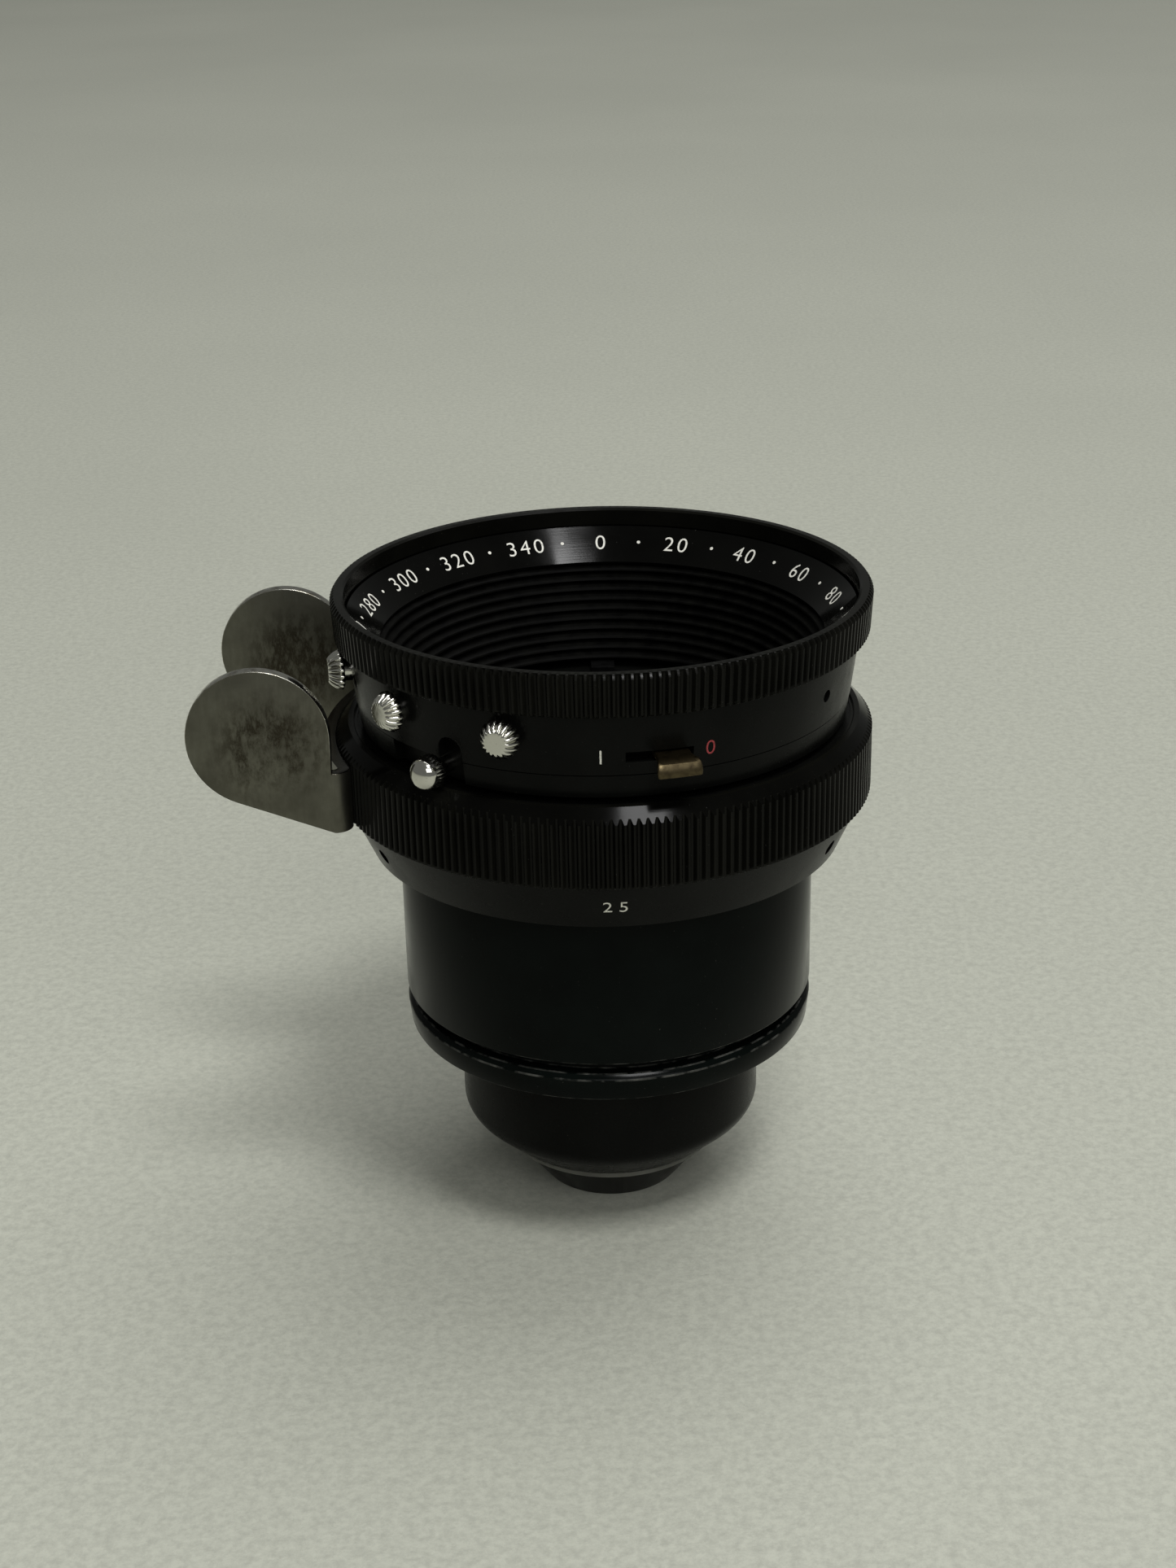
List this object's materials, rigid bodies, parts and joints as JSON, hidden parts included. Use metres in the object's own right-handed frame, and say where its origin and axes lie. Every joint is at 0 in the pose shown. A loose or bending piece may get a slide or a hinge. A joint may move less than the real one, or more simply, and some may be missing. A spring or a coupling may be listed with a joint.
{
  "type": "camera lens",
  "caption": "Compact cine-style lens with a plain mount sleeve, a knurled focus ring with two finger grips, a coned aperture ring, an iris and glass groups, standing on its rear end.",
  "frame": {"origin": "on the lens axis, in the plane of the mount seat, where the mount sleeve meets the seat face", "axes": "+Z along the lens axis towards the front glass, with the lens standing on its rear end; -X towards the finger grips"},
  "size_m": [0.0649, 0.0528, 0.0641],
  "materials": {
    "black_anodised": "satin black anodised",
    "matt_black": "dead matt black paint",
    "bright_chrome": "polished",
    "grip_steel": "fine brushed, scuffed",
    "screw_steel": "blackened",
    "blade_steel": "blued spring steel",
    "brass": "satin",
    "worn_brass": "dull, worn",
    "coated_glass": "coated"
  },
  "bodies": {
    "mount": {"mount_sleeve": "black_anodised", "guide_keys": "brass", "guide_key_screws": "screw_steel", "index_cone": "black_anodised", "index_cone_screws": "screw_steel", "focus_keeper_ring": "brass"},
    "focus": {"focus_ring": "black_anodised", "helicoid_nut": "black_anodised", "finger_grip": "grip_steel", "grip_screws": "screw_steel"},
    "barrel": {"barrel_tube": "black_anodised", "front_housing": "black_anodised", "index_stud": "bright_chrome", "rear_barrel": "black_anodised", "front_baffle": "matt_black", "name_ring": "black_anodised", "front_cell": "matt_black", "third_element": "coated_glass", "inner_spacer": "matt_black", "second_element": "coated_glass", "outer_spacer": "matt_black", "front_element": "coated_glass", "front_retaining_ring": "matt_black", "rear_group_cell": "matt_black", "sixth_element": "coated_glass", "rear_spacer": "matt_black", "fifth_element": "coated_glass", "fourth_element": "coated_glass", "rear_retaining_ring": "matt_black", "tail_cell": "black_anodised", "rear_element": "coated_glass", "tail_retaining_ring": "matt_black", "iris_housing": "brass"},
    "aperture": {"aperture_ring": "black_anodised", "front_rim": "black_anodised", "aperture_ring_screws": "screw_steel", "aperture_studs": "bright_chrome", "iris_drive_arm": "matt_black", "drive_arm_screw": "screw_steel", "iris_cam_ring": "brass"},
    "lever": {"click_lever": "worn_brass"},
    "blade_1": {"iris_blade_1": "blade_steel"},
    "blade_2": {"iris_blade_2": "blade_steel"},
    "blade_3": {"iris_blade_3": "blade_steel"},
    "blade_4": {"iris_blade_4": "blade_steel"},
    "blade_5": {"iris_blade_5": "blade_steel"},
    "blade_6": {"iris_blade_6": "blade_steel"}
  },
  "joints": [
    {"name": "focus_slide", "type": "slide", "parent": "mount", "child": "barrel", "axis": [0, 0, 1], "range_m": [0, 0.0022]},
    {"name": "focus_turn", "type": "hinge", "parent": "mount", "child": "focus", "pos_m": [0, 0, 0], "axis": [0, 0, 1], "range_deg": [0, 150]},
    {"name": "aperture_turn", "type": "hinge", "parent": "barrel", "child": "aperture", "pos_m": [0, 0, 0], "axis": [0, 0, 1], "range_deg": [-30, 30]},
    {"name": "click_lever_turn", "type": "hinge", "parent": "aperture", "child": "lever", "pos_m": [0, 0, 0], "axis": [0, 0, 1], "range_deg": [-5, 0]},
    {"name": "blade_1_pivot", "type": "hinge", "parent": "barrel", "child": "blade_1", "pos_m": [0.01335, 0, -0.007], "axis": [0, 0, 1], "range_deg": [-20, 20]},
    {"name": "blade_2_pivot", "type": "hinge", "parent": "barrel", "child": "blade_2", "pos_m": [0.00668, 0.01156, -0.007], "axis": [0, 0, 1], "range_deg": [-20, 20]},
    {"name": "blade_3_pivot", "type": "hinge", "parent": "barrel", "child": "blade_3", "pos_m": [-0.00668, 0.01156, -0.007], "axis": [0, 0, 1], "range_deg": [-20, 20]},
    {"name": "blade_4_pivot", "type": "hinge", "parent": "barrel", "child": "blade_4", "pos_m": [-0.01335, 0, -0.007], "axis": [0, 0, 1], "range_deg": [-20, 20]},
    {"name": "blade_5_pivot", "type": "hinge", "parent": "barrel", "child": "blade_5", "pos_m": [-0.00668, -0.01156, -0.007], "axis": [0, 0, 1], "range_deg": [-20, 20]},
    {"name": "blade_6_pivot", "type": "hinge", "parent": "barrel", "child": "blade_6", "pos_m": [0.00668, -0.01156, -0.007], "axis": [0, 0, 1], "range_deg": [-20, 20]}
  ],
  "couplings": [
    {"joint": "focus_turn", "follows": "focus_slide", "rad_per_m": 1190},
    {"joint": "blade_1_pivot", "follows": "aperture_turn", "ratio": 0.66667},
    {"joint": "blade_2_pivot", "follows": "aperture_turn", "ratio": 0.66667},
    {"joint": "blade_3_pivot", "follows": "aperture_turn", "ratio": 0.66667},
    {"joint": "blade_4_pivot", "follows": "aperture_turn", "ratio": 0.66667},
    {"joint": "blade_5_pivot", "follows": "aperture_turn", "ratio": 0.66667},
    {"joint": "blade_6_pivot", "follows": "aperture_turn", "ratio": 0.66667}
  ]
}
